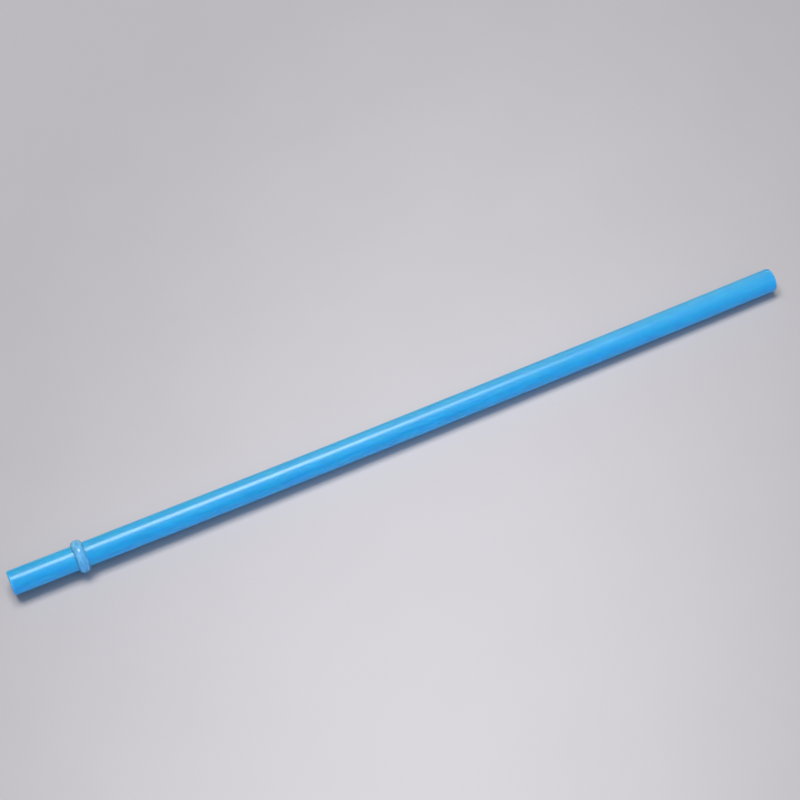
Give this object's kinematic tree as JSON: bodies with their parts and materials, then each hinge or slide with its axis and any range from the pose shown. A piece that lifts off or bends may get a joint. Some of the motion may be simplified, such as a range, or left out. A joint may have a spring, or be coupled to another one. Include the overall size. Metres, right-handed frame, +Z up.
{
  "type": "reusable drinking straw with stopper ring",
  "caption": "Straight hollow plastic drinking straw, open at both ends, with a half-round stopper ring near the end that stands in the cup.",
  "frame": {"origin": "on the tube's axis, half way along its length", "axes": "+X along the tube's axis from the cup end, which carries the ring, to the mouth end; +Z up, with the straw lying flat"},
  "size_m": [0.2666, 0.0104, 0.0104],
  "materials": {
    "tube_plastic": "gloss",
    "ring_plastic": "gloss"
  },
  "bodies": {
    "root": {"straw_tube": "tube_plastic", "stopper_ring": "ring_plastic"}
  },
  "joints": []
}
